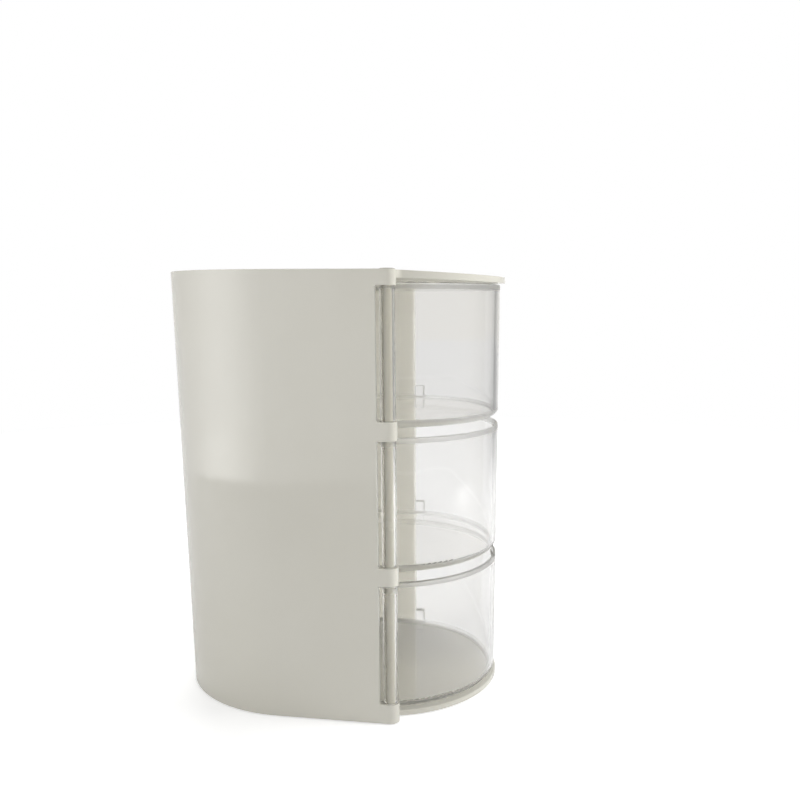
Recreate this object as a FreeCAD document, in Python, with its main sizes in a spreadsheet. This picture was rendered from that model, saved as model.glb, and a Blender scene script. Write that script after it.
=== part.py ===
import FreeCAD, Part
import math
import os
import Sketcher
from types import SimpleNamespace

V = FreeCAD.Vector
doc = FreeCAD.newDocument("SwingDrawerOrganizer")

# ---------------------------------------------------------------- driving sizes, mm
SIZES = [
    ("body_width", 100.0, "side to side over the housing walls"),
    ("body_length", 130.0, "front edge of the top cover to the back of the housing"),
    ("body_height", 165.0, "soles of the feet to the head of the hinge rod"),
    ("wall", 2.2, "housing wall"),
    ("foot_proud", 0.4, "feet stand below the housing"),
    ("head_proud", 0.3, "rod head stands above the top cover"),
    ("cover_thick", 2.8, "top cover"),
    ("visor_over", 1.9, "top cover reaches past the drawer fronts"),
    ("visor_drop", 1.7, "fall of the top cover towards its front edge"),
    ("visor_under_drop", 1.1, "fall of the underside towards the front edge"),
    ("visor_blend", 2.5, "rounding where the visor leaves the side walls"),
    ("knuckle_radius", 3.1, "rounded front edge of the hinge side wall"),
    ("knuckle_gap", 0.2, "knuckle to the side of a drawer, across the body"),
    ("hinge_lead", 12.3, "front edge of the hinge side wall ahead of the drawer centre"),
    ("far_lead", 2.6, "front end of the plain side wall ahead of the drawer centre"),
    ("window_back", 3.8, "window edge behind the hinge axis"),
    ("window_corner", 0.6, "rounding of the window corners"),
    ("window_sill", 7.4, "housing edge to the lowest window"),
    ("window_head", 2.5, "highest window to the top of the housing wall"),
    ("ear_height", 6.7, "each ear between two windows"),
    ("base_thick", 1.9, "base plate"),
    ("base_over", 0.8, "base plate reaches past the drawer fronts"),
    ("base_corner", 1.2, "rounded corners of the base plate"),
    ("base_rim_round", 0.5, "rounding of the base plate's front rim"),
    ("rebate", 1.0, "step in the housing wall that takes the base plate"),
    ("fit_gap", 0.15, "gap between parts pushed together"),
    ("rib_height", 2.8, "locating rib of the base plate"),
    ("cover_rib_height", 1.2, "locating ribs under the top cover"),
    ("rib_thick", 1.3, "locating ribs"),
    ("skirt_set_back", 1.0, "skirt under the top cover behind the drawer front"),
    ("floor_gap", 0.4, "base plate to the lowest drawer"),
    ("tier_gap", 3.4, "drawer rim to the next drawer"),
    ("top_gap", 1.6, "highest drawer rim to the top of the housing wall"),
    ("drawer_wall", 1.9, "drawer wall and floor"),
    ("drawer_edge", 3.0, "rounding under the drawer"),
    ("drawer_corner", 9.0, "rounding of the drawer's back corners"),
    ("rim_round", 0.6, "rounding outside the drawer rim"),
    ("lip_high", 2.0, "step inside the drawer rim, down the wall"),
    ("lip_in", 0.9, "step inside the drawer rim, across the wall"),
    ("sweep_gap", 0.8, "drawer to the plain side wall while it swings"),
    ("barrel_radius", 2.7, "hinge barrel on the drawer"),
    ("end_gap", 0.3, "barrel ends to the ears"),
    ("web_thick", 2.4, "web from barrel to drawer wall"),
    ("web_short", 2.0, "web stops below the drawer rim"),
    ("rod_radius", 1.6, "hinge rod"),
    ("rod_chamfer", 0.3, "foot of the rod"),
    ("turn_gap", 0.08, "barrel bore over the rod, radial"),
    ("seat_gap", 0.03, "housing bore over the rod, radial"),
    ("rod_low_z", 1.6, "foot of the rod"),
    ("head_radius", 2.9, "head of the rod"),
    ("head_thick", 0.9, "head of the rod"),
    ("head_round", 0.7, "slope of the head's edge"),
    ("stop_long", 4.0, "stop rib along the drawer wall"),
    ("stop_high", 6.4, "stop rib"),
    ("stop_lift", 0.4, "stop rib above the drawer underside"),
    ("stop_gap", 0.5, "stop rib to the front end of the plain side wall"),
    ("foot_radius", 5.0, "round foot pad"),
    ("foot_thick", 1.0, "round foot pad"),
    ("foot_in", 20.0, "foot centres in from the side of the body"),
    ("foot_back", 27.0, "back feet in from the back of the body"),
    ("foot_front", 29.0, "front feet in from the front of the body"),
]
sheet = doc.addObject("Spreadsheet::Sheet", "Sizes")
for row, (name, value, note) in enumerate(SIZES, start=1):
    sheet.set(f"A{row}", name)
    sheet.set(f"B{row}", f"{value:g}")
    sheet.setAlias(f"B{row}", name)
    sheet.set(f"C{row}", note)

DERIVED = [
    ("half_width", "=Sizes.body_width / 2"),
    ("half_length", "=Sizes.body_length / 2"),
    ("back_y", "=half_length - half_width"),
    ("inner_radius", "=half_width - Sizes.wall"),
    ("rebate_radius", "=inner_radius + Sizes.rebate"),
    ("drawer_radius", "=half_width - 2 * Sizes.knuckle_radius - Sizes.knuckle_gap"),
    ("visor_radius", "=drawer_radius + Sizes.visor_over"),
    ("front_y", "=half_length - visor_radius"),
    ("hinge_x", "=half_width - Sizes.knuckle_radius"),
    ("hinge_y", "=front_y + Sizes.hinge_lead - Sizes.knuckle_radius"),
    ("far_y", "=front_y + Sizes.far_lead - Sizes.wall / 2"),
    ("sweep_radius", "=hinge_x + inner_radius - Sizes.sweep_gap"),
    ("cover_top_z", "=Sizes.body_height - Sizes.head_proud"),
    ("seam_z", "=cover_top_z - Sizes.cover_thick"),
    ("base_top_z", "=Sizes.foot_proud + Sizes.base_thick"),
    ("first_z", "=base_top_z + Sizes.floor_gap"),
    ("drawer_height", "=(seam_z - Sizes.top_gap - first_z - 2 * Sizes.tier_gap) / 3"),
    ("drawer_pitch", "=drawer_height + Sizes.tier_gap"),
    ("sill_z", "=Sizes.foot_proud + Sizes.window_sill"),
    ("window_height", "=(seam_z - Sizes.window_head - sill_z - 2 * Sizes.ear_height) / 3"),
    ("window_pitch", "=window_height + Sizes.ear_height"),
    ("rod_bore", "=Sizes.rod_radius + Sizes.seat_gap"),
    ("turn_bore", "=Sizes.rod_radius + Sizes.turn_gap"),
    ("rib_out", "=inner_radius - Sizes.fit_gap"),
    ("rib_in", "=rib_out - Sizes.rib_thick"),
    ("skirt_radius", "=drawer_radius - Sizes.skirt_set_back"),
]
derived = doc.addObject("Spreadsheet::Sheet", "Derived")
for row, (name, formula) in enumerate(DERIVED, start=1):
    derived.set(f"A{row}", name)
    derived.set(f"B{row}", formula)
    derived.setAlias(f"B{row}", name)
doc.recompute()


class Length:
    """A length with the expression that gives it, so each dimension is said once."""

    def __init__(self, value, text):
        self.value = value
        self.text = text

    def __add__(self, other):
        other = length(other)
        return Length(self.value + other.value, f"({self.text} + {other.text})")

    def __sub__(self, other):
        other = length(other)
        return Length(self.value - other.value, f"({self.text} - {other.text})")

    def __mul__(self, number):
        return Length(self.value * number, f"({self.text} * {number:g})")

    def __neg__(self):
        return Length(-self.value, f"(-{self.text})")

    def chord(self, other):
        """The other leg of a right triangle with this longest side."""
        return Length(math.sqrt(self.value ** 2 - other.value ** 2),
                      f"sqrt({self.text} ^ 2 - {other.text} ^ 2)")


def length(given):
    return given if isinstance(given, Length) else Length(float(given), f"{given:g}")


s = SimpleNamespace()
for owner, rows in ((sheet, SIZES), (derived, DERIVED)):
    for row in rows:
        setattr(s, row[0], Length(float(owner.get(row[0])), f"{owner.Name}.{row[0]}"))


# ---------------------------------------------------------------- helpers
def body(label, z=None):
    """A new body, lifted to a height."""
    made = doc.addObject("PartDesign::Body", label)
    made.Label = label
    if z:
        made.setExpression("Placement.Base.z", z.text)
    return made


def sketch(owner, name, role="XY_Plane", height=None):
    """An empty sketch on one of the body's own origin planes."""
    made = owner.newObject("Sketcher::SketchObject", name)
    plane = [f for f in owner.Origin.OriginFeatures if f.Role == role][0]
    made.AttachmentSupport = [(plane, "")]
    made.MapMode = "FlatFace"
    if height:
        made.setExpression("AttachmentOffset.Base.z", height.text)
    return made


def line(sk, start, end, upright=None):
    """A line; upright is True, False or None for a slanting one."""
    ends = [V(*(getattr(c, "value", c) for c in point), 0) for point in (start, end)]
    index = sk.addGeometry(Part.LineSegment(*ends), False)
    if upright is not None:
        sk.addConstraint(Sketcher.Constraint("Vertical" if upright else "Horizontal", index))
    return index


def ring(centre, radius):
    return Part.Circle(V(*(getattr(c, "value", c) for c in centre), 0), V(0, 0, 1), radius.value)


def arc(sk, centre, radius, start, end, sized=True):
    """An arc, anticlockwise from start to end in degrees."""
    shape = Part.ArcOfCircle(ring(centre, radius), math.radians(start), math.radians(end))
    index = sk.addGeometry(shape, False)
    if sized:
        give(sk, "Radius", (index,), radius)
    return index


def circle(sk, centre, radius):
    index = sk.addGeometry(ring(centre, radius), False)
    give(sk, "Radius", (index,), radius)
    put(sk, index, 3, *centre)
    return index


def join(sk, first, first_end, second, second_end, smooth=False):
    kind = "Tangent" if smooth else "Coincident"
    sk.addConstraint(Sketcher.Constraint(kind, first, first_end, second, second_end))


def loop(sk, sides, smooth=()):
    """Join lines end to start, all the way round; smooth names the tangent corners by side."""
    for n, (first, second) in enumerate(zip(sides, sides[1:] + sides[:1])):
        join(sk, first, 2, second, 1, n in smooth)


def give(sk, kind, where, size):
    """A dimension tied to the sizes."""
    index = sk.addConstraint(Sketcher.Constraint(kind, *where, size.value))
    sk.setExpression(f"Constraints[{index}]", size.text)


def put(sk, geometry, point, x, y):
    """Place a point; a coordinate is a Length, 0 for the axis, or None to leave it free."""
    for axis, size in (("X", x), ("Y", y)):
        if size is None:
            continue
        if not isinstance(size, Length):
            other = -2 if axis == "X" else -1
            sk.addConstraint(Sketcher.Constraint("PointOnObject", geometry, point, other))
        elif size.value >= 0:
            give(sk, "Distance" + axis, (-1, 1, geometry, point), size)
        else:
            give(sk, "Distance" + axis, (geometry, point, -1, 1), -size)


def box_outline(sk, x0, x1, y0, y1):
    """A rectangle from its four edges, each measured from the origin."""
    sides = [line(sk, (x0, y0), (x1, y0), False), line(sk, (x1, y0), (x1, y1), True),
             line(sk, (x1, y1), (x0, y1), False), line(sk, (x0, y1), (x0, y0), True)]
    loop(sk, sides)
    put(sk, sides[0], 1, x0, y0)
    put(sk, sides[1], 2, x1, y1)


def half_band(sk, centre_y, outer, inner, start):
    """A half-round strip about a point on the middle line, from start degrees on."""
    side = 1 if start == 0 else -1
    big = arc(sk, (0, centre_y), outer, start, start + 180)
    small = arc(sk, (0, centre_y), inner, start, start + 180)
    first = line(sk, (inner.value * side, centre_y), (outer.value * side, centre_y), False)
    last = line(sk, (-outer.value * side, centre_y), (-inner.value * side, centre_y), False)
    join(sk, first, 2, big, 1)
    join(sk, big, 2, last, 1)
    join(sk, last, 2, small, 2)
    join(sk, small, 1, first, 1)
    put(sk, big, 3, 0, centre_y)
    sk.addConstraint(Sketcher.Constraint("Coincident", small, 3, big, 3))
    sk.addConstraint(Sketcher.Constraint("PointOnObject", big, 3, first))
    sk.addConstraint(Sketcher.Constraint("PointOnObject", big, 3, last))


def pad(owner, name, sk, size, back=False):
    made = owner.newObject("PartDesign::Pad", name)
    made.Profile = sk
    made.Reversed = back
    made.setExpression("Length", size.text)
    doc.recompute()
    return made


def pocket(owner, name, sk, size=None, back=False, midplane=False):
    """A cut along the sketch normal; with no size it goes through everything on that side."""
    made = owner.newObject("PartDesign::Pocket", name)
    made.Profile = sk
    made.Reversed = back
    made.Midplane = midplane
    if size:
        made.setExpression("Length", size.text)
    else:
        made.Type = "ThroughAll"
    doc.recompute()
    return made


def edge_names(base, keep):
    return tuple(f"Edge{n}" for n, edge in enumerate(base.Shape.Edges, start=1) if keep(edge))


def round_edges(owner, name, base, keep, size):
    made = owner.newObject("PartDesign::Fillet", name)
    made.Base = (base, edge_names(base, keep))
    made.setExpression("Radius", size.text)
    doc.recompute()
    return made


def upright(edge):
    box = edge.BoundBox
    return box.XLength < 1e-6 and box.YLength < 1e-6 and box.ZLength > 0.5


def level_at(z):
    """Picks the edges that lie flat at one height."""
    return lambda edge: edge.BoundBox.ZLength < 1e-6 and abs(edge.BoundBox.ZMin - z.value) < 1e-4


def rim_side(made, z, outside):
    """Picks the edges round the outside or the inside of the flat rim at a height."""
    flat = [face for face in made.Shape.Faces if face.BoundBox.ZMin > z.value - 1e-4]
    outer = [edge for face in flat for edge in face.OuterWire.Edges]
    level = level_at(z)
    return lambda edge: level(edge) and outside == any(edge.isSame(other) for other in outer)


# ---------------------------------------------------------------- shared outlines
HINGE = (-s.hinge_x, -s.hinge_y)
BACK = (0, s.back_y)
FRONT = (0, -s.front_y)
HX, HY = HINGE[0].value, HINGE[1].value


def wall_run(sk):
    """Outer run of the walls: plain side, half-round back, hinge side, joined smoothly."""
    right = line(sk, (s.half_width, -s.far_y), (s.half_width, s.back_y), True)
    back = arc(sk, BACK, s.half_width, 0, 180)
    left = line(sk, (-s.half_width, s.back_y), (-s.half_width, HY), True)
    join(sk, right, 2, back, 1, True)
    join(sk, back, 2, left, 1, True)
    put(sk, back, 3, *BACK)
    return right, back, left


# ---------------------------------------------------------------- housing
housing = body("housing")
plan = sketch(housing, "HousingPlan", height=s.foot_proud)
right, back, left = wall_run(plan)
meet = s.knuckle_radius.chord(s.knuckle_radius - s.wall).value
meet_angle = 360 + math.degrees(math.atan2(meet, s.wall.value - s.knuckle_radius.value))
curl = arc(plan, HINGE, s.knuckle_radius, 180, meet_angle)
inner_left = line(plan, (-s.inner_radius, HY + meet), (-s.inner_radius, s.back_y), True)
inner_back = arc(plan, BACK, s.inner_radius, 0, 180)
inner_right = line(plan, (s.inner_radius, s.back_y), (s.inner_radius, -s.far_y), True)
tip = arc(plan, (s.inner_radius + s.wall * 0.5, -s.far_y), s.wall * 0.5, 180, 360, sized=False)
join(plan, left, 2, curl, 1, True)
join(plan, curl, 2, inner_left, 1)
join(plan, inner_left, 2, inner_back, 2, True)
join(plan, inner_back, 1, inner_right, 1, True)
join(plan, inner_right, 2, tip, 1, True)
join(plan, tip, 2, right, 1, True)
plan.addConstraint(Sketcher.Constraint("Coincident", inner_back, 3, back, 3))
put(plan, curl, 3, None, HINGE[1])
put(plan, tip, 3, None, -s.far_y)
pad(housing, "HousingWalls", plan, s.seam_z - s.foot_proud)

windows = sketch(housing, "HingeWindows", role="YZ_Plane")
window_rear = HINGE[1] + s.window_back
for n in range(3):
    sill = s.sill_z + s.window_pitch * n
    box_outline(windows, HINGE[1] - s.knuckle_radius * 1.5, window_rear, sill, sill + s.window_height)
cut = pocket(housing, "WindowCuts", windows)


def window_corner(edge):
    box = edge.BoundBox
    return (box.XLength > 1 and box.YLength < 1e-6 and box.ZLength < 1e-6
            and abs(box.YMin - window_rear.value) < 1e-4)


round_edges(housing, "WindowCorners", cut, window_corner, s.window_corner)

seat = sketch(housing, "BaseSeat", height=s.foot_proud)
seat_right = line(seat, (s.rebate_radius, -s.front_y), (s.rebate_radius, s.back_y), True)
seat_back = arc(seat, BACK, s.rebate_radius, 0, 180)
seat_left = line(seat, (-s.rebate_radius, s.back_y), (-s.rebate_radius, -s.front_y), True)
seat_front = line(seat, (-s.rebate_radius, -s.front_y), (s.rebate_radius, -s.front_y), False)
loop(seat, [seat_right, seat_back, seat_left, seat_front], smooth=(0, 1))
put(seat, seat_back, 3, *BACK)
put(seat, seat_front, 1, None, -s.front_y)
pocket(housing, "BaseSeatCut", seat, s.base_thick, back=True)

bore = sketch(housing, "RodBore", height=s.seam_z)
circle(bore, HINGE, s.rod_bore)
pocket(housing, "RodBoreCut", bore, s.seam_z - s.rod_low_z)

# ---------------------------------------------------------------- base plate
base = body("base_plate")
plate = sketch(base, "BasePlan", height=s.foot_proud)
plate_radius = s.rebate_radius - s.fit_gap
front_radius = s.drawer_radius + s.base_over
shoulder = s.fit_gap - s.front_y
side_r = line(plate, (plate_radius, shoulder), (plate_radius, s.back_y), True)
round_back = arc(plate, BACK, plate_radius, 0, 180)
side_l = line(plate, (-plate_radius, s.back_y), (-plate_radius, shoulder), True)
step_l = line(plate, (-plate_radius, shoulder), (-front_radius, shoulder), False)
round_front = arc(plate, (0, shoulder), front_radius, 180, 360)
step_r = line(plate, (front_radius, shoulder), (plate_radius, shoulder), False)
loop(plate, [side_r, round_back, side_l, step_l, round_front, step_r], smooth=(0, 1))
put(plate, round_back, 3, *BACK)
put(plate, round_front, 3, 0, shoulder)
plate.addConstraint(Sketcher.Constraint("PointOnObject", round_front, 3, step_l))
plate.addConstraint(Sketcher.Constraint("PointOnObject", round_front, 3, step_r))
made = pad(base, "BaseFloor", plate, s.base_thick)
made = round_edges(base, "BaseCorners", made,
                   lambda e: upright(e) and abs(e.BoundBox.YMin - shoulder.value) < 1e-4, s.base_corner)
round_edges(base, "BaseRim", made,
            lambda e: level_at(s.base_top_z)(e) and e.BoundBox.YMin < shoulder.value - 5, s.base_rim_round)
rib = sketch(base, "BaseRibPlan", height=s.base_top_z)
half_band(rib, s.back_y, s.rib_out, s.rib_in, 0)
pad(base, "BaseRib", rib, s.rib_height)

foot_x = s.half_width - s.foot_in
foot_back_y, foot_front_y = s.half_length - s.foot_back, s.foot_front - s.half_length
FEET = [("foot_back_hinge_side", -foot_x, foot_back_y), ("foot_back_far_side", foot_x, foot_back_y),
        ("foot_front_hinge_side", -foot_x, foot_front_y), ("foot_front_far_side", foot_x, foot_front_y)]
dimples = sketch(base, "FootDimples", height=s.foot_proud)
for _, x, y in FEET:
    circle(dimples, (x, y), s.foot_radius + s.fit_gap)
pocket(base, "FootDimpleCuts", dimples, s.foot_thick - s.foot_proud, back=True)

# ---------------------------------------------------------------- feet
for name, x, y in FEET:
    foot = body(name)
    foot.setExpression("Placement.Base.x", x.text)
    foot.setExpression("Placement.Base.y", y.text)
    disc = sketch(foot, name + "_plan")
    circle(disc, (0, 0), s.foot_radius)
    pad(foot, name + "_disc", disc, s.foot_thick)

# ---------------------------------------------------------------- top cover
cover = body("top_cover")
deck = sketch(cover, "CoverPlan", height=s.seam_z)
right, back, left = wall_run(deck)
curl = arc(deck, HINGE, s.knuckle_radius, 180, 360)
edge_y = -s.far_y - s.wall * 0.5
inset = line(deck, (HX + s.knuckle_radius.value, HY), (HX + s.knuckle_radius.value, edge_y), True)
across = line(deck, (HX + s.knuckle_radius.value, edge_y), (s.inner_radius + s.wall * 0.5, edge_y), False)
tip = arc(deck, (s.inner_radius + s.wall * 0.5, -s.far_y), s.wall * 0.5, 270, 360)
join(deck, left, 2, curl, 1, True)
join(deck, curl, 2, inset, 1, True)
join(deck, inset, 2, across, 1)
join(deck, across, 2, tip, 1, True)
join(deck, tip, 2, right, 1, True)
put(deck, curl, 3, None, HINGE[1])
put(deck, tip, 3, None, -s.far_y)
pad(cover, "CoverDeck", deck, s.cover_thick)

visor = sketch(cover, "VisorPlan", height=s.seam_z - s.visor_under_drop)
circle(visor, FRONT, s.visor_radius)
pad(cover, "Visor", visor, s.cover_thick + s.visor_under_drop)

slopes = sketch(cover, "VisorSlopes", role="YZ_Plane")
nose = -s.half_length - 1
upper = [line(slopes, (HINGE[1], s.cover_top_z), (nose, s.cover_top_z - s.visor_drop)),
         line(slopes, (nose, s.cover_top_z - s.visor_drop), (nose, s.cover_top_z + 4), True),
         line(slopes, (nose, s.cover_top_z + 4), (HINGE[1], s.cover_top_z + 4), False),
         line(slopes, (HINGE[1], s.cover_top_z + 4), (HINGE[1], s.cover_top_z), True)]
loop(slopes, upper)
put(slopes, upper[0], 1, HINGE[1], s.cover_top_z)
put(slopes, upper[0], 2, nose, s.cover_top_z - s.visor_drop)
put(slopes, upper[2], 1, None, s.cover_top_z + 4)
crest = HINGE[1] - s.knuckle_radius
lower = [line(slopes, (nose, s.seam_z - s.visor_under_drop), (crest, s.seam_z)),
         line(slopes, (crest, s.seam_z), (s.half_length, s.seam_z), False),
         line(slopes, (s.half_length, s.seam_z), (s.half_length, s.seam_z - 4), True),
         line(slopes, (s.half_length, s.seam_z - 4), (nose, s.seam_z - 4), False),
         line(slopes, (nose, s.seam_z - 4), (nose, s.seam_z - s.visor_under_drop), True)]
loop(slopes, lower)
put(slopes, lower[0], 1, nose, s.seam_z - s.visor_under_drop)
put(slopes, lower[0], 2, crest, s.seam_z)
put(slopes, lower[2], 2, s.half_length, s.seam_z - 4)
made = pocket(cover, "VisorSlopeCuts", slopes, s.body_width * 2, midplane=True)


def blend_edge(edge):
    """Upright hollow edges where the visor meets the straight sides."""
    box = edge.BoundBox
    return (upright(edge) and box.YMin < -s.far_y.value
            and s.skirt_radius.value - 3 < abs(box.XMin) < s.visor_radius.value)


round_edges(cover, "VisorBlends", made, blend_edge, s.visor_blend)
ribs = sketch(cover, "CoverRibPlan", height=s.seam_z + 0.4)
half_band(ribs, s.back_y, s.rib_out, s.rib_in, 0)
half_band(ribs, -s.front_y, s.skirt_radius, s.skirt_radius - s.rib_thick, 180)
pad(cover, "CoverRibs", ribs, s.cover_rib_height + 0.4, back=True)
head_seat = sketch(cover, "HeadSeatPlan", height=s.cover_top_z)
circle(head_seat, HINGE, s.head_radius + s.seat_gap)
pocket(cover, "HeadSeat", head_seat, s.head_thick - s.head_proud)
bore = sketch(cover, "CoverBore", height=s.cover_top_z)
circle(bore, HINGE, s.rod_bore)
pocket(cover, "CoverBoreCut", bore)

# ---------------------------------------------------------------- hinge rod
rod = body("hinge_rod")
rod.setExpression("Placement.Base.x", HINGE[0].text)
rod.setExpression("Placement.Base.y", HINGE[1].text)
turned = sketch(rod, "RodProfile", role="XZ_Plane")
neck_z = s.body_height - s.head_thick
corners = [(0, s.rod_low_z), (s.rod_radius - s.rod_chamfer, s.rod_low_z),
           (s.rod_radius, s.rod_low_z + s.rod_chamfer), (s.rod_radius, neck_z), (s.head_radius, neck_z),
           (s.head_radius, s.body_height - s.head_proud), (s.head_radius - s.head_round, s.body_height),
           (0, s.body_height)]
sides = [line(turned, a, b) for a, b in zip(corners, corners[1:] + corners[:1])]
loop(turned, sides)
for side, corner in zip(sides, corners):
    put(turned, side, 1, *corner)
turn = rod.newObject("PartDesign::Revolution", "RodTurned")
turn.Profile = turned
turn.ReferenceAxis = (turned, ["V_Axis"])
turn.Angle = 360
doc.recompute()


# ---------------------------------------------------------------- drawers
def angle(centre, point):
    return math.degrees(math.atan2(point[1] - centre[1], point[0] - centre[0]))


def meeting_point(first, first_radius, second, second_radius):
    """Where two circles cross, to the left on the way from the first centre to the second."""
    across, up = second[0] - first[0], second[1] - first[1]
    apart = math.hypot(across, up)
    along = (apart ** 2 + first_radius ** 2 - second_radius ** 2) / (2 * apart)
    aside = math.sqrt(first_radius ** 2 - along ** 2)
    return (first[0] + (along * across - aside * up) / apart, first[1] + (along * up + aside * across) / apart)


def drawer_outline(sk):
    """Round front, plain sides, and a back that an arc about the hinge keeps clear of the wall."""
    radius, sweep, corner = s.drawer_radius.value, s.sweep_radius.value, s.drawer_corner.value
    rear, hinge = (0, s.back_y.value), (HX, HY)
    reach = sweep - corner
    far_corner = (radius - corner, HY + math.sqrt(reach ** 2 - (radius - corner - HX) ** 2))
    back_corner = meeting_point(hinge, reach, rear, radius - corner)
    side_end = (radius, far_corner[1])
    swing_start, swing_end = angle(hinge, far_corner), angle(hinge, back_corner)
    tail_start = angle(rear, back_corner)

    nose = arc(sk, FRONT, s.drawer_radius, 180, 360)
    far_side = line(sk, (radius, -s.front_y), side_end, True)
    far_round = arc(sk, far_corner, s.drawer_corner, 0, swing_start)
    swing = arc(sk, HINGE, s.sweep_radius, swing_start, swing_end)
    back_round = arc(sk, back_corner, s.drawer_corner, swing_end, tail_start)
    tail = arc(sk, BACK, s.drawer_radius, tail_start, 180, sized=False)
    near_side = line(sk, (-radius, s.back_y), (-radius, -s.front_y), True)
    sides = [nose, far_side, far_round, swing, back_round, tail, near_side]
    loop(sk, sides, smooth=range(len(sides)))
    put(sk, nose, 3, *FRONT)
    put(sk, tail, 3, *BACK)
    put(sk, swing, 3, *HINGE)


def make_drawer(label, tier):
    """One clear tub; its barrel fills the window of its own tier between the ears."""
    floor_z = s.first_z + s.drawer_pitch * tier
    window_z = s.sill_z + s.window_pitch * tier
    barrel_z = window_z + s.end_gap - floor_z
    barrel_top = window_z + s.window_height - s.end_gap - floor_z
    owner = body(label, floor_z)
    plan = sketch(owner, label + "_plan")
    drawer_outline(plan)
    block = pad(owner, label + "_block", plan, s.drawer_height)
    block = round_edges(owner, label + "_bottom", block, level_at(length(0)), s.drawer_edge)
    mouth = [f"Face{n}" for n, face in enumerate(block.Shape.Faces, start=1)
             if face.BoundBox.ZMin > s.drawer_height.value - 1e-4]
    tub = owner.newObject("PartDesign::Thickness", label + "_tub")
    tub.Base = (block, mouth)
    tub.Reversed = True
    tub.setExpression("Value", s.drawer_wall.text)
    doc.recompute()
    rim = round_edges(owner, label + "_rim", tub, rim_side(tub, s.drawer_height, outside=True), s.rim_round)
    mouth_line = owner.newObject("PartDesign::SubShapeBinder", label + "_mouth_line")
    mouth_line.Support = (rim, edge_names(rim, rim_side(rim, s.drawer_height, outside=False)))
    mouth_line.MakeFace = True
    mouth_line.setExpression("Offset", s.lip_in.text)
    doc.recompute()
    pocket(owner, label + "_lip", mouth_line, s.lip_high)

    barrel = sketch(owner, label + "_barrel_plan", height=barrel_z)
    circle(barrel, HINGE, s.barrel_radius)
    pad(owner, label + "_barrel", barrel, barrel_top - barrel_z)
    web = sketch(owner, label + "_web_plan", height=barrel_z)
    wall_middle = s.drawer_radius.chord(s.hinge_y - s.front_y) - s.drawer_wall * 0.5
    box_outline(web, HINGE[0], -wall_middle, HINGE[1] - s.web_thick * 0.5, HINGE[1] + s.web_thick * 0.5)
    pad(owner, label + "_web", web, s.drawer_height - s.web_short - barrel_z)

    stop = sketch(owner, label + "_stop_plan", height=s.stop_lift)
    stop_rear = -s.far_y - s.wall * 0.5 - s.stop_gap
    box_outline(stop, s.drawer_radius - s.drawer_wall * 0.5, s.sweep_radius + HINGE[0],
                stop_rear - s.stop_long, stop_rear)
    pad(owner, label + "_stop", stop, s.stop_high)
    bore = sketch(owner, label + "_bore_plan", height=barrel_top)
    circle(bore, HINGE, s.turn_bore)
    pocket(owner, label + "_bore", bore)
    return owner


for tier, label in enumerate(["drawer_bottom", "drawer_middle", "drawer_top"]):
    make_drawer(label, tier)

# ---------------------------------------------------------------- check and write
doc.recompute()
bodies = [obj for obj in doc.Objects if obj.TypeId == "PartDesign::Body"]
for obj in doc.Objects:
    if "Invalid" in obj.State or "Error" in obj.State:
        raise RuntimeError(f"{obj.Label} did not compute: {obj.State}")
for item in bodies:
    if item.Shape.isNull() or not item.Shape.isValid() or len(item.Shape.Solids) != 1:
        raise RuntimeError(f"{item.Label} is not one valid solid")

os.makedirs("parts", exist_ok=True)
for item in bodies:
    item.Shape.exportStep(f"parts/{item.Label}.step")
    box = item.Shape.BoundBox
    print(f"{item.Label:24s} volume {item.Shape.Volume:10.1f}  x {box.XMin:7.2f} {box.XMax:7.2f}"
          f"  y {box.YMin:7.2f} {box.YMax:7.2f}  z {box.ZMin:7.2f} {box.ZMax:7.2f}")
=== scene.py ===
import math

import bpy
from mathutils import Matrix, Vector


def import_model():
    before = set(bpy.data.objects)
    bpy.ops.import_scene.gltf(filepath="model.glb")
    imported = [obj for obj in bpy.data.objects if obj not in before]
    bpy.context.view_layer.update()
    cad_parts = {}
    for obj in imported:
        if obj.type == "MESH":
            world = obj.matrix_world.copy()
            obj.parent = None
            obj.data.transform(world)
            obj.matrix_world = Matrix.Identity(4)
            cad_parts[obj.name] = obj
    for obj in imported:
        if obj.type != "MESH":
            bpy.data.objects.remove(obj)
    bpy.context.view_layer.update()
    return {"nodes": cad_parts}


# Looks, studio and camera for the rotating three-drawer organiser.
# Everything is in metres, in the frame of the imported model: Z is up, the open front faces -Y
# and the hinge side faces -X.

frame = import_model()
nodes = frame["nodes"]

MM = 0.001
SHELL = ("housing", "top_cover", "base_plate")
ROD = ("hinge_rod",)
DRAWERS = ("drawer_bottom", "drawer_middle", "drawer_top")
FEET = tuple(name for name in sorted(nodes) if name.startswith("foot_"))

# ---------------------------------------------------------------- node helpers


def new_material(name):
    """An empty node material with its output node."""
    material = bpy.data.materials.new(name)
    material.use_nodes = True
    tree = material.node_tree
    tree.nodes.clear()
    return material, tree, tree.nodes.new("ShaderNodeOutputMaterial")


def put(tree, kind, **settings):
    """A node of one kind, with its own settings and its plain socket values."""
    node = tree.nodes.new(kind)
    for key, value in settings.items():
        if hasattr(node, key):
            setattr(node, key, value)
        else:
            node.inputs[key.replace("_", " ")].default_value = value
    return node


def object_coords(tree):
    """A point's place on its own object, which moves with it."""
    return tree.nodes.new("ShaderNodeTexCoord").outputs["Object"]


def light_path(tree):
    """What kind of ray is being shaded, and how often it has turned."""
    return tree.nodes.new("ShaderNodeLightPath").outputs


def axes(tree, vector):
    """The X, Y and Z of a vector socket."""
    split = tree.nodes.new("ShaderNodeSeparateXYZ")
    tree.links.new(vector, split.inputs[0])
    return split.outputs


def maths(tree, operation, first, second):
    """One step of arithmetic on a socket and a socket or number."""
    node = put(tree, "ShaderNodeMath", operation=operation)
    tree.links.new(first, node.inputs[0])
    if isinstance(second, float):
        node.inputs[1].default_value = second
    else:
        tree.links.new(second, node.inputs[1])
    return node.outputs["Value"]


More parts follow.
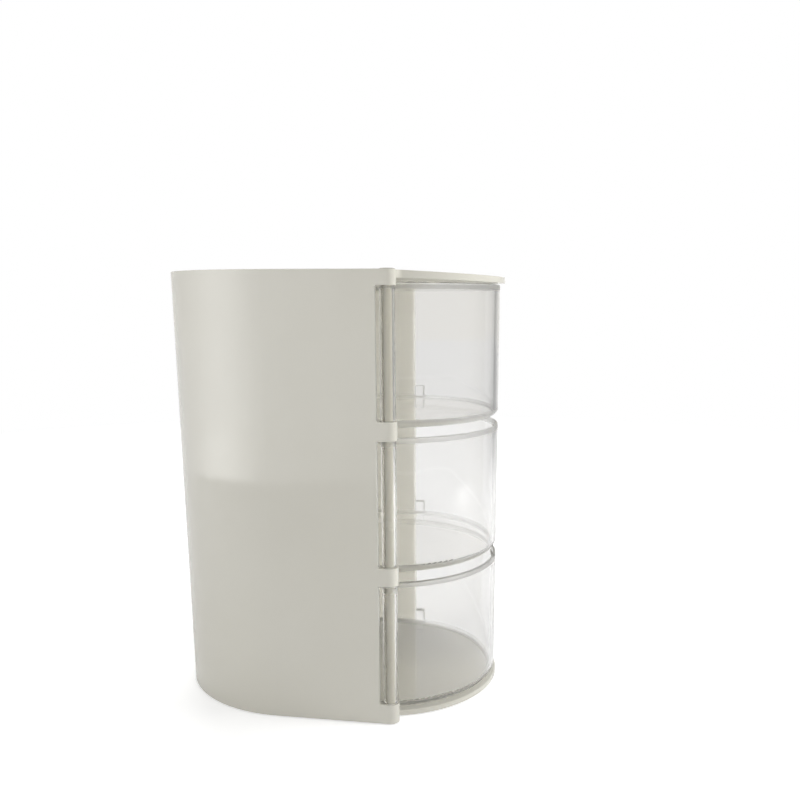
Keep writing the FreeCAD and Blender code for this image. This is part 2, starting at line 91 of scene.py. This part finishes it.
def larger(tree, first, second):
    """The larger of two sockets."""
    return maths(tree, "MAXIMUM", first, second)


def within(tree, value, low, high):
    """1 between two limits, and 0 outside them."""
    above = maths(tree, "GREATER_THAN", value, low)
    below = maths(tree, "LESS_THAN", value, high)
    return maths(tree, "MULTIPLY", above, below)


def spread(tree, value, low, high, low_from=0.3, high_from=0.7):
    """The value, stretched from its own range to a new one."""
    node = put(tree, "ShaderNodeMapRange")
    node.inputs["From Min"].default_value = low_from
    node.inputs["From Max"].default_value = high_from
    node.inputs["To Min"].default_value = low
    node.inputs["To Max"].default_value = high
    tree.links.new(value, node.inputs["Value"])
    return node.outputs["Result"]


def noise(tree, coords, size, detail=3.0, roughness=0.5):
    """Noise whose features are about this size, in metres."""
    node = put(tree, "ShaderNodeTexNoise", Detail=detail, Roughness=roughness)
    node.inputs["Scale"].default_value = 1.0 / size
    tree.links.new(coords, node.inputs["Vector"])
    return node.outputs["Fac"]


def bump(tree, heights):
    """A normal from several (height, strength, distance) layers."""
    normal = None
    for height, strength, distance in heights:
        node = put(tree, "ShaderNodeBump", Strength=strength, Distance=distance)
        tree.links.new(height, node.inputs["Height"])
        if normal is not None:
            tree.links.new(normal, node.inputs["Normal"])
        normal = node.outputs["Normal"]
    return normal


def blend_colours(tree, factor, first, second):
    """A colour between two, by a factor; the first is a colour or a socket."""
    node = put(tree, "ShaderNodeMix", data_type="RGBA")
    tree.links.new(factor, node.inputs["Factor"])
    low, high = [socket for socket in node.inputs if socket.type == "RGBA"]
    if isinstance(first, tuple):
        low.default_value = (*first, 1.0)
    else:
        tree.links.new(first, low)
    high.default_value = (*second, 1.0)
    return [socket for socket in node.outputs if socket.type == "RGBA"][0]


def mix_shaders(tree, factor, first, second):
    """The first shader at 0 and the second at 1."""
    mix = tree.nodes.new("ShaderNodeMixShader")
    tree.links.new(factor, mix.inputs["Fac"])
    tree.links.new(first, mix.inputs[1])
    tree.links.new(second, mix.inputs[2])
    return mix.outputs["Shader"]


# ---------------------------------------------------------------- opaque plastics

SHELL_COLOUR = (0.70, 0.682, 0.608)
SHELL_SHADE = (0.672, 0.653, 0.575)
ROD_COLOUR = (0.73, 0.708, 0.625)
ROD_SHADE = (0.70, 0.68, 0.595)
RUBBER_COLOUR = (0.60, 0.60, 0.57)
RUBBER_SHADE = (0.52, 0.52, 0.49)

PLASTIC_IOR = 1.5
SPECULAR = 1.0
SUBSURFACE_TINT = (1.0, 0.99, 0.96)
SUBSURFACE_DEEP = 10 * MM
SUBSURFACE_ROD = 1.5 * MM
# Light sinks in on the far side only: from none to all of it across this stretch of X.
FAR_HALF = (-10 * MM, 15 * MM)

FLOW_SIZE = 60 * MM
WORN_SIZE = 18 * MM
GRAIN_SIZE = 0.35 * MM
GRAIN_HIGH = 0.03 * MM
WAVE_SIZE = 25 * MM
WAVE_HIGH = 0.35 * MM
WAVE_STRENGTH = 0.25


def sinking_light(tree, shader, coords, depth, far_only):
    """Light that goes a little way into the plastic, everywhere or only towards +X."""
    weight = shader.inputs["Subsurface Weight"]
    weight.default_value = 1.0
    if far_only:
        x = axes(tree, coords)["X"]
        tree.links.new(spread(tree, x, 0.0, 1.0, *FAR_HALF), weight)
    shader.inputs["Subsurface Radius"].default_value = SUBSURFACE_TINT
    shader.inputs["Subsurface Scale"].default_value = depth


def opaque_plastic(name, colour, shade, roughness, grain, depth=SUBSURFACE_DEEP, far_only=True):
    """Moulded plastic: faint flow marks in the colour, a fine grain and slow waves in the surface."""
    material, tree, output = new_material(name)
    coords = object_coords(tree)
    shader = put(tree, "ShaderNodeBsdfPrincipled", IOR=PLASTIC_IOR)
    shader.inputs["Specular IOR Level"].default_value = SPECULAR
    sinking_light(tree, shader, coords, depth, far_only)
    flow = spread(tree, noise(tree, coords, FLOW_SIZE, detail=4.0), 0.0, 1.0)
    tree.links.new(blend_colours(tree, flow, colour, shade), shader.inputs["Base Color"])
    worn = noise(tree, coords, WORN_SIZE, detail=5.0, roughness=0.6)
    tree.links.new(spread(tree, worn, *roughness), shader.inputs["Roughness"])
    waves = noise(tree, coords, WAVE_SIZE, detail=1.0)
    fine = noise(tree, coords, GRAIN_SIZE, detail=2.0)
    normal = bump(tree, [(waves, WAVE_STRENGTH, WAVE_HIGH), (fine, grain, GRAIN_HIGH)])
    tree.links.new(normal, shader.inputs["Normal"])
    tree.links.new(shader.outputs["BSDF"], output.inputs["Surface"])
    return material


# ---------------------------------------------------------------- clear plastic

CLEAR_IOR = 1.49
CLEAR_TINT = (0.982, 0.98, 0.975)
CLEAR_SHADE = (0.97, 0.967, 0.961)
# Painted shade: a darker beige put on the drawers' lips, rounded edges, stop ribs and barrels.
EDGE_PAINTED_SHADE = (0.93, 0.926, 0.908)
PASSING_TINT = (0.993, 0.993, 0.99)
HAZE_SIZE = 14 * MM
HAZE_ROUGHNESS = 0.05
LIP_ROUGHNESS = 0.35
TINT_SIZE = 40 * MM
CLEAR_WAVE_SIZE = 16 * MM
CLEAR_WAVE_HIGH = 0.2 * MM
CLEAR_WAVE_STRENGTH = 0.2

# A ray that has been turned more often than this goes straight on.
CAUGHT_REFLECTIONS = 3.5
CAUGHT_BOUNCES = 9.5

# Places on the drawers: heights are those of the lowest one, the next ones stand a pitch higher.
TIER_PITCH = 53.667 * MM
LOWEST_LIP = 50.97 * MM
LIP_HIGH = 2.0 * MM
LOWEST_UNDERSIDE = 2.6 * MM
ROUNDING_HIGH = 3.0 * MM
# A surface counts as curved while its normal is less upright than this.
UPRIGHT = 0.9995
STOP_X = (42.0 * MM, 48.0 * MM)
STOP_Y = (-27.0 * MM, -22.2 * MM)
STOP_HIGH = 7.2 * MM
HINGE_AXIS = (-46.9 * MM, -28.7 * MM)
# A little more than the radius of the barrels.
BARREL_REACH = 2.9 * MM


def band(tree, z, lowest, height):
    """1 on a band of this height, which starts this high on the lowest drawer, and on its like above."""
    up = maths(tree, "FLOORED_MODULO", maths(tree, "SUBTRACT", z, lowest), TIER_PITCH)
    return maths(tree, "LESS_THAN", up, height)


def near_hinge(tree, x, y):
    """1 on the barrels, which are round the hinge axis."""
    side = maths(tree, "SUBTRACT", x, HINGE_AXIS[0])
    ahead = maths(tree, "SUBTRACT", y, HINGE_AXIS[1])
    side_squared = maths(tree, "MULTIPLY", side, side)
    ahead_squared = maths(tree, "MULTIPLY", ahead, ahead)
    away_squared = maths(tree, "ADD", side_squared, ahead_squared)
    return maths(tree, "LESS_THAN", away_squared, BARREL_REACH**2)


def special_places(tree, coords):
    """Two masks: the lips, rounded lower edges and stop ribs of the drawers; and those with the barrels,
    which get painted shade.
    """
    x, y, z = axes(tree, coords)
    lips = band(tree, z, LOWEST_LIP, LIP_HIGH)
    normal = tree.nodes.new("ShaderNodeNewGeometry").outputs["Normal"]
    curved = within(tree, axes(tree, normal)["Z"], -UPRIGHT, UPRIGHT)
    rounding = maths(tree, "MULTIPLY", band(tree, z, LOWEST_UNDERSIDE, ROUNDING_HIGH), curved)
    stops = maths(tree, "MULTIPLY", within(tree, x, *STOP_X), within(tree, y, *STOP_Y))
    stops = maths(tree, "MULTIPLY", stops, band(tree, z, LOWEST_UNDERSIDE, STOP_HIGH))
    satin = larger(tree, larger(tree, lips, rounding), stops)
    return satin, larger(tree, satin, near_hinge(tree, x, y))


def passing_rays(tree):
    """1 for a lamp's light, which goes straight through, and for a ray caught inside too long."""
    path = light_path(tree)
    passing = path["Is Shadow Ray"]
    for depth, most in (("Glossy Depth", CAUGHT_REFLECTIONS), ("Ray Depth", CAUGHT_BOUNCES)):
        passing = larger(tree, passing, maths(tree, "GREATER_THAN", path[depth], most))
    return passing


def clear_plastic(name):
    """Clear moulded polystyrene, with a faint haze, a slightly wavy surface and satin edges; lips, rounded
    edges, stop ribs and barrels get a darker beige as painted shade.
    """
    material, tree, output = new_material(name)
    coords = object_coords(tree)
    shader = put(tree, "ShaderNodeBsdfPrincipled", IOR=CLEAR_IOR)
    shader.inputs["Transmission Weight"].default_value = 1.0
    satin_places, painted_shade_places = special_places(tree, coords)
    haze = noise(tree, coords, HAZE_SIZE, detail=5.0, roughness=0.65)
    haze = spread(tree, haze, 0.0, HAZE_ROUGHNESS)
    satin = spread(tree, satin_places, 0.0, LIP_ROUGHNESS, 0.0, 1.0)
    tree.links.new(larger(tree, haze, satin), shader.inputs["Roughness"])
    tint = spread(tree, noise(tree, coords, TINT_SIZE), 0.0, 1.0)
    colour = blend_colours(tree, tint, CLEAR_TINT, CLEAR_SHADE)
    # Painted shade on the lips, rounded edges, stop ribs and barrels.
    colour = blend_colours(tree, painted_shade_places, colour, EDGE_PAINTED_SHADE)
    tree.links.new(colour, shader.inputs["Base Color"])
    waves = noise(tree, coords, CLEAR_WAVE_SIZE, detail=1.0)
    normal = bump(tree, [(waves, CLEAR_WAVE_STRENGTH, CLEAR_WAVE_HIGH)])
    tree.links.new(normal, shader.inputs["Normal"])
    through = put(tree, "ShaderNodeBsdfTransparent", Color=(*PASSING_TINT, 1.0))
    surface = mix_shaders(tree, passing_rays(tree), shader.outputs["BSDF"], through.outputs["BSDF"])
    tree.links.new(surface, output.inputs["Surface"])
    return material


# ---------------------------------------------------------------- what each piece wears


def wear(names, material):
    """Put one material on these pieces."""
    for name in names:
        nodes[name].data.materials.clear()
        nodes[name].data.materials.append(material)


shell = opaque_plastic("shell_plastic", SHELL_COLOUR, SHELL_SHADE, roughness=(0.05, 0.09), grain=0.08)
rod = opaque_plastic(
    "rod_plastic",
    ROD_COLOUR,
    ROD_SHADE,
    roughness=(0.2, 0.3),
    grain=0.08,
    depth=SUBSURFACE_ROD,
    far_only=False,
)
rubber = opaque_plastic("foot_rubber", RUBBER_COLOUR, RUBBER_SHADE, roughness=(0.6, 0.8), grain=0.4)
clear = clear_plastic("clear_plastic")

wear(SHELL, shell)
wear(ROD, rod)
wear(FEET, rubber)
wear(DRAWERS, clear)

# ---------------------------------------------------------------- backdrop

FLOOR_HALF = 3.0
FLOOR_ALBEDO = 0.82
FLOOR_LIFT = 0.5
FLOOR_GLASS_LIFT = 0.15
FLOOR_FADE = (0.35, 0.8)
WHITE = (1.0, 1.0, 1.0, 1.0)
ROOM_COLOUR = (1.0, 0.99, 0.965, 1.0)
WORLD_LIGHT = 0.2
GLASS_HORIZON = 0.88
GLASS_ZENITH = 0.6
ZENITH_HEIGHT = 0.7
GLASS_FRONT = 0.45
FRONT_SIDE = (-0.4, -0.12)
# A ray that matte surfaces have scattered less often than this comes straight from the camera.
ONE_SCATTER = 0.5


def front_shade(tree, side):
    """The room that glass and gloss see is darker to the front; side is how far a direction turns to +Y."""
    return spread(tree, side, GLASS_FRONT, 1.0, *FRONT_SIDE)


def backdrop_rays(tree):
    """1 for what the camera sees, straight, by a reflection or through clear plastic; 0 for a light ray."""
    path = light_path(tree)
    seen = larger(tree, path["Is Camera Ray"], path["Is Glossy Ray"])
    seen = larger(tree, seen, path["Is Transmission Ray"])
    not_scattered = maths(tree, "LESS_THAN", path["Diffuse Depth"], ONE_SCATTER)
    return maths(tree, "MULTIPLY", seen, not_scattered)


def near_paper(tree, diffuse, direct):
    """The paper by the object: lit by the lamps, with some light of its own, less in glass and gloss."""
    lift = tree.nodes.new("ShaderNodeEmission")
    strength = spread(tree, direct, FLOOR_GLASS_LIFT, FLOOR_LIFT, 0.0, 1.0)
    tree.links.new(strength, lift.inputs["Strength"])
    both = tree.nodes.new("ShaderNodeAddShader")
    tree.links.new(diffuse, both.inputs[0])
    tree.links.new(lift.outputs["Emission"], both.inputs[1])
    return both.outputs["Shader"]


def far_paper(tree, side, direct):
    """The paper far out: white to the camera, and as bright as the room's horizon in glass and gloss."""
    shade = maths(tree, "MULTIPLY", front_shade(tree, side), GLASS_HORIZON)
    glow = tree.nodes.new("ShaderNodeEmission")
    tree.links.new(larger(tree, direct, shade), glow.inputs["Strength"])
    return glow.outputs["Emission"]


def floor_paper():
    """Paper that fades into the backdrop far out; light rays find it plain and diffuse."""
    material, tree, output = new_material("floor_paper")
    coords = object_coords(tree)
    direct = light_path(tree)["Is Camera Ray"]
    diffuse = put(tree, "ShaderNodeBsdfDiffuse", Color=(FLOOR_ALBEDO,) * 3 + (1.0,)).outputs["BSDF"]
    length = put(tree, "ShaderNodeVectorMath", operation="LENGTH")
    tree.links.new(coords, length.inputs[0])
    away = length.outputs["Value"]
    side = maths(tree, "DIVIDE", axes(tree, coords)["Y"], away)
    near = near_paper(tree, diffuse, direct)
    far = far_paper(tree, side, direct)
    seen = mix_shaders(tree, spread(tree, away, 0.0, 1.0, *FLOOR_FADE), near, far)
    final = mix_shaders(tree, backdrop_rays(tree), diffuse, seen)
    tree.links.new(final, output.inputs["Surface"])
    return material


def floor():
    """A wide square under the object."""
    mesh = bpy.data.meshes.new("floor")
    corners = [(x * FLOOR_HALF, y * FLOOR_HALF, 0) for x, y in ((-1, -1), (1, -1), (1, 1), (-1, 1))]
    mesh.from_pydata(corners, [], [(0, 1, 2, 3)])
    mesh.materials.append(floor_paper())
    plane = bpy.data.objects.new("floor", mesh)
    bpy.context.scene.collection.objects.link(plane)


def world():
    """White behind the object, a soft grey room around it for glass and gloss, and a plain low light."""
    studio = bpy.data.worlds.new("studio")
    bpy.context.scene.world = studio
    studio.use_nodes = True
    tree = studio.node_tree
    tree.nodes.clear()
    output = tree.nodes.new("ShaderNodeOutputWorld")
    light = put(tree, "ShaderNodeBackground", Strength=WORLD_LIGHT, Color=WHITE)
    white = put(tree, "ShaderNodeBackground", Strength=1.0, Color=WHITE)
    room = put(tree, "ShaderNodeBackground", Color=ROOM_COLOUR)
    direction = axes(tree, tree.nodes.new("ShaderNodeTexCoord").outputs["Generated"])
    height = spread(tree, direction["Z"], GLASS_HORIZON, GLASS_ZENITH, 0.0, ZENITH_HEIGHT)
    shade = maths(tree, "MULTIPLY", height, front_shade(tree, direction["Y"]))
    tree.links.new(shade, room.inputs["Strength"])
    direct = light_path(tree)["Is Camera Ray"]
    seen = mix_shaders(tree, direct, room.outputs["Background"], white.outputs["Background"])
    final = mix_shaders(tree, backdrop_rays(tree), light.outputs["Background"], seen)
    tree.links.new(final, output.inputs["Surface"])


floor()
world()

# ---------------------------------------------------------------- lamps

PANE_HEIGHT = 0.45
PANE_DISTANCE = 0.47
PANE_MIDDLE_Y = 0.015
PANE_STEP = 5
PANE_ANGLES = range(8, 124, PANE_STEP)
PANE_PEAK = 1.6
PANE_PEAK_ANGLE = 54
PANE_SPREAD = 35


def area_lamp(name, place, target, width, height, energy, shines):
    """A rectangular lamp: a shining one is only seen in reflections, any other only lights surfaces."""
    lamp = bpy.data.lights.new(name, "AREA")
    lamp.shape = "RECTANGLE"
    lamp.size = width
    lamp.size_y = height
    lamp.energy = energy
    lamp.cycles.use_multiple_importance_sampling = shines
    thing = bpy.data.objects.new(name, lamp)
    bpy.context.scene.collection.objects.link(thing)
    thing.location = place
    thing.rotation_euler = (Vector(target) - Vector(place)).to_track_quat("-Z", "Y").to_euler()
    thing.visible_camera = False
    thing.visible_diffuse = not shines
    thing.visible_glossy = shines
    thing.visible_transmission = False
    return thing


def softbox(name, place, target, width, height, share):
    """A lamp that adds this share of the plain level to a face turned to it at its target."""
    distance = (Vector(target) - Vector(place)).length
    area_lamp(name, place, target, width, height, share * math.pi ** 2 * distance ** 2, shines=False)


def sun(name, direction, share, angle):
    """Even light from one direction, softened over an angle in degrees."""
    lamp = bpy.data.lights.new(name, "SUN")
    lamp.energy = share * math.pi
    lamp.angle = math.radians(angle)
    thing = bpy.data.objects.new(name, lamp)
    bpy.context.scene.collection.objects.link(thing)
    thing.rotation_euler = Vector(direction).to_track_quat("-Z", "Y").to_euler()


def white_plastic_pieces():
    """The pieces that reflect the panes, as a collection for the panes' light linking."""
    group = bpy.data.collections.new("glossy_shell")
    for name in SHELL:
        group.objects.link(nodes[name])
    return group


def pane(angle, reflecting):
    """A pane beside the housing's round back, turned to it; the angle is in degrees from -X towards +Y.

    Only reflections show it, and only on the reflecting pieces; a radiance of 1 is white."""
    turn = math.radians(angle)
    middle = (0.0, PANE_MIDDLE_Y, PANE_HEIGHT / 2)
    x = -PANE_DISTANCE * math.cos(turn)
    y = PANE_MIDDLE_Y + PANE_DISTANCE * math.sin(turn)
    width = 2 * PANE_DISTANCE * math.tan(math.radians(PANE_STEP / 2))
    radiance = PANE_PEAK * math.exp(-(((angle - PANE_PEAK_ANGLE) / PANE_SPREAD) ** 2))
    energy = radiance * math.pi * width * PANE_HEIGHT
    thing = area_lamp(f"pane_{angle}", (x, y, middle[2]), middle, width, PANE_HEIGHT, energy, shines=True)
    thing.light_linking.receiver_collection = reflecting


softbox("key_left", place=(-0.62, -0.4, 0.16), target=(0.0, -0.02, 0.09), width=0.5, height=0.3, share=0.27)
softbox("front_high", place=(0.12, -0.6, 0.55), target=(0.0, -0.03, 0.05), width=0.5, height=0.4, share=0.45)
softbox("front_fill", place=(0.0, -0.42, 0.14), target=(0.03, -0.04, 0.09), width=0.1, height=0.3, share=0.3)
softbox("back_left", place=(-0.3, 0.7, 0.15), target=(-0.03, 0.05, 0.07), width=0.4, height=0.3, share=0.39)
softbox("back_right", place=(1.25, 0.45, 0.5), target=(0.05, 0.0, 0.09), width=0.9, height=0.8, share=0.85)
sun("overhead", direction=(0.25, 0.2, -1.0), share=0.06, angle=60)
white_plastic = white_plastic_pieces()
for angle in PANE_ANGLES:
    pane(angle, white_plastic)

# ---------------------------------------------------------------- camera

PICTURE = 800.0
FOCAL_PIXELS = 830.9
PRINCIPAL = (436.3, 477.8)
SENSOR = 36.0
NEAREST = 0.01
CAMERA_PLACE = (-327.3 * MM, -87.1 * MM, 154.3 * MM)
YAW, PITCH, ROLL = 8.43, 12.03, 0.10


def camera():
    """A camera at the photo's place and angle; yaw is from +X towards +Y and pitch is downwards."""
    data = bpy.data.cameras.new("camera")
    data.sensor_width = SENSOR
    data.lens = SENSOR * FOCAL_PIXELS / PICTURE
    data.shift_x = (PICTURE / 2 - PRINCIPAL[0]) / PICTURE
    data.shift_y = (PRINCIPAL[1] - PICTURE / 2) / PICTURE
    data.clip_start = NEAREST
    thing = bpy.data.objects.new("camera", data)
    bpy.context.scene.collection.objects.link(thing)
    yaw, pitch, roll = (math.radians(angle) for angle in (YAW, PITCH, ROLL))
    forward = Vector((math.cos(pitch) * math.cos(yaw), math.cos(pitch) * math.sin(yaw), -math.sin(pitch)))
    level = forward.cross(Vector((0, 0, 1))).normalized()
    up = level.cross(forward)
    right = level * math.cos(roll) + up * math.sin(roll)
    up = right.cross(forward)
    turn = Matrix((right, up, -forward)).transposed().to_4x4()
    thing.matrix_world = Matrix.Translation(CAMERA_PLACE) @ turn
    bpy.context.scene.camera = thing


camera()
bpy.context.scene.view_settings.view_transform = "Standard"
